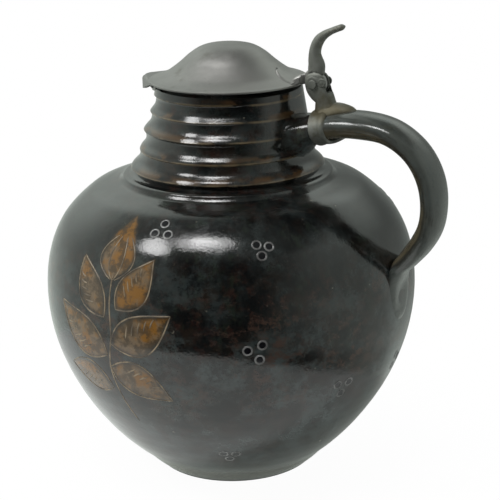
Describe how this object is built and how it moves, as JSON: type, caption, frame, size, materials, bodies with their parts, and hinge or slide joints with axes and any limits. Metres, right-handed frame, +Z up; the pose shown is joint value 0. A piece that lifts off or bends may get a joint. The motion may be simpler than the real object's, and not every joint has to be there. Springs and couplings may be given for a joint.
{
  "type": "lidded serving jug",
  "caption": "Round-bellied glazed stoneware jug with ringed neck, pulled handle, pouring lip and hinged pewter lid with thumb-lift.",
  "frame": {"origin": "centre of the flat foot", "axes": "+Z up, +X towards the handle, -X towards the pouring lip"},
  "size_m": [0.2366, 0.212, 0.258],
  "materials": {
    "glaze": "gloss",
    "pewter_lid": "satin",
    "pewter_mount": "satin"
  },
  "bodies": {
    "jug": {"jug_body": "glaze", "handle": "glaze", "handle_strap": "pewter_mount", "strap_leaf": "pewter_mount", "hinge_post": "pewter_mount", "hinge_pin": "pewter_mount"},
    "lid": {"lid": "pewter_lid", "spout_hood": "pewter_lid", "lid_shank": "pewter_lid", "thumb_lift": "pewter_mount"}
  },
  "joints": [
    {"name": "lid_hinge", "type": "hinge", "parent": "jug", "child": "lid", "pos_m": [0.0557, 0, 0.2255], "axis": [0, 1, 0], "range_deg": [0, 78]}
  ]
}
